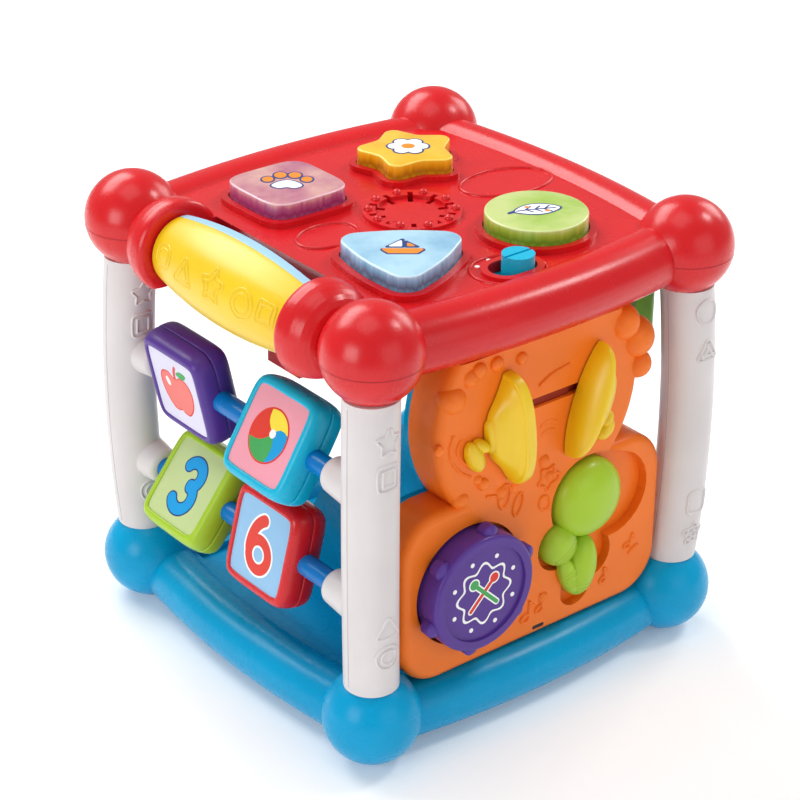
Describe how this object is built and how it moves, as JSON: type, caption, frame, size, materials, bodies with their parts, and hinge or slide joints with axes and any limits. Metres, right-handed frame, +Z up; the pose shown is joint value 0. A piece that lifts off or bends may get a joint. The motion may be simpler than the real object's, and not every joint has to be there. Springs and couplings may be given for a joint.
{
  "type": "baby activity cube",
  "caption": "Cube-shaped baby activity toy: round-cornered frame, light-up keys on top, a spinning roller, turning picture blocks on rods and a panel with a drum, cymbals and a maraca.",
  "frame": {"origin": "middle of the footprint, on the floor", "axes": "+Z up, -Y out through the instrument panel, -X out through the turning blocks, +X out through the green panel"},
  "size_m": [0.18, 0.18, 0.18],
  "materials": {
    "base_blue": "glossy sky blue",
    "leg_white": "glossy off-white",
    "top_red": "glossy red",
    "panel_orange": "glossy orange",
    "yellow": "glossy yellow",
    "pale_blue": "glossy pale blue",
    "lime": "glossy lime green",
    "green": "glossy green",
    "purple": "glossy purple",
    "cyan": "glossy cyan",
    "cobalt": "glossy cobalt blue",
    "key_purple": "translucent, lit from below",
    "key_yellow": "translucent, lit from below",
    "key_blue": "translucent, lit from below",
    "key_green": "translucent, lit from below",
    "steel": "plain",
    "board_green": "matt",
    "lamp_clear": "clear",
    "dark": "matt black",
    "dome_rubber": "matt grey",
    "cell_wrap": "satin"
  },
  "bodies": {
    "frame": {"base_shell": "base_blue", "base_plate": "base_blue", "base_screws": "steel", "front_left_leg": "leg_white", "front_right_leg": "leg_white", "rear_left_leg": "leg_white", "rear_right_leg": "leg_white", "top_shell": "top_red", "top_cover": "top_red", "top_screws": "steel", "main_circuit_board": "board_green", "key_lamps": "lamp_clear", "speaker_frame": "dark", "speaker_cone": "dark", "power_switch": "dark", "square_dome": "dome_rubber", "star_dome": "dome_rubber", "triangle_dome": "dome_rubber", "round_dome": "dome_rubber", "battery_cells": "cell_wrap", "battery_contacts": "steel", "battery_door": "top_red", "upper_rod": "cobalt", "lower_rod": "cobalt", "music_panel": "panel_orange", "music_housing": "base_blue", "panel_circuit_board": "board_green", "drum_switch": "dark", "maraca_pin": "steel", "green_panel": "green"},
    "roller": {"roller_axle": "steel", "roller_yellow_half": "yellow", "roller_blue_half": "pale_blue"},
    "purple_block": {"purple_block_front": "purple", "purple_block_back": "purple"},
    "cyan_block": {"cyan_block_front": "cyan", "cyan_block_back": "cyan"},
    "lime_block": {"lime_block_front": "lime", "lime_block_back": "lime"},
    "red_block": {"red_block_front": "top_red", "red_block_back": "top_red"},
    "square_key": {"square_key": "key_purple"},
    "star_key": {"star_key": "key_yellow"},
    "triangle_key": {"triangle_key": "key_blue"},
    "round_key": {"round_key": "key_green"},
    "power_slider": {"power_slider": "cyan"},
    "drum": {"drum": "purple"},
    "left_cymbal": {"left_cymbal": "yellow"},
    "right_cymbal": {"right_cymbal": "yellow"},
    "maraca": {"maraca": "lime"}
  },
  "joints": [
    {"name": "roller_spin", "type": "hinge", "parent": "frame", "child": "roller", "pos_m": [-0.072, 0, 0.16], "axis": [0, 1, 0], "continuous": true},
    {"name": "purple_block_turn", "type": "hinge", "parent": "frame", "child": "purple_block", "pos_m": [-0.072, 0.0358, 0.1073], "axis": [0, 1, 0], "continuous": true},
    {"name": "cyan_block_turn", "type": "hinge", "parent": "frame", "child": "cyan_block", "pos_m": [-0.072, -0.0204, 0.1073], "axis": [0, 1, 0], "continuous": true},
    {"name": "lime_block_turn", "type": "hinge", "parent": "frame", "child": "lime_block", "pos_m": [-0.072, 0.0336, 0.0619], "axis": [0, 1, 0], "continuous": true},
    {"name": "red_block_turn", "type": "hinge", "parent": "frame", "child": "red_block", "pos_m": [-0.072, -0.0147, 0.0619], "axis": [0, 1, 0], "continuous": true},
    {"name": "square_key_press", "type": "slide", "parent": "frame", "child": "square_key", "axis": [0, 0, -1], "range_m": [0, 0.0022], "stiffness_N_per_m": 600, "springref_m": -0.0005, "deforming": ["square_dome"]},
    {"name": "star_key_press", "type": "slide", "parent": "frame", "child": "star_key", "axis": [0, 0, -1], "range_m": [0, 0.0022], "stiffness_N_per_m": 600, "springref_m": -0.0005, "deforming": ["star_dome"]},
    {"name": "triangle_key_press", "type": "slide", "parent": "frame", "child": "triangle_key", "axis": [0, 0, -1], "range_m": [0, 0.0022], "stiffness_N_per_m": 600, "springref_m": -0.0005, "deforming": ["triangle_dome"]},
    {"name": "round_key_press", "type": "slide", "parent": "frame", "child": "round_key", "axis": [0, 0, -1], "range_m": [0, 0.0022], "stiffness_N_per_m": 600, "springref_m": -0.0005, "deforming": ["round_dome"]},
    {"name": "power_slide", "type": "slide", "parent": "frame", "child": "power_slider", "axis": [-1, 0, 0], "range_m": [0, 0.005]},
    {"name": "drum_press", "type": "slide", "parent": "frame", "child": "drum", "axis": [0, 1, 0], "range_m": [0, 0.0024], "stiffness_N_per_m": 600, "springref_m": -0.0005},
    {"name": "left_cymbal_slide", "type": "slide", "parent": "frame", "child": "left_cymbal", "axis": [1, 0, 0], "range_m": [0, 0.006]},
    {"name": "right_cymbal_slide", "type": "slide", "parent": "frame", "child": "right_cymbal", "axis": [-1, 0, 0], "range_m": [0, 0.006]},
    {"name": "maraca_swing", "type": "hinge", "parent": "frame", "child": "maraca", "pos_m": [0.02, -0.077, 0.038], "axis": [0, 1, 0], "range_deg": [0, 21]}
  ]
}
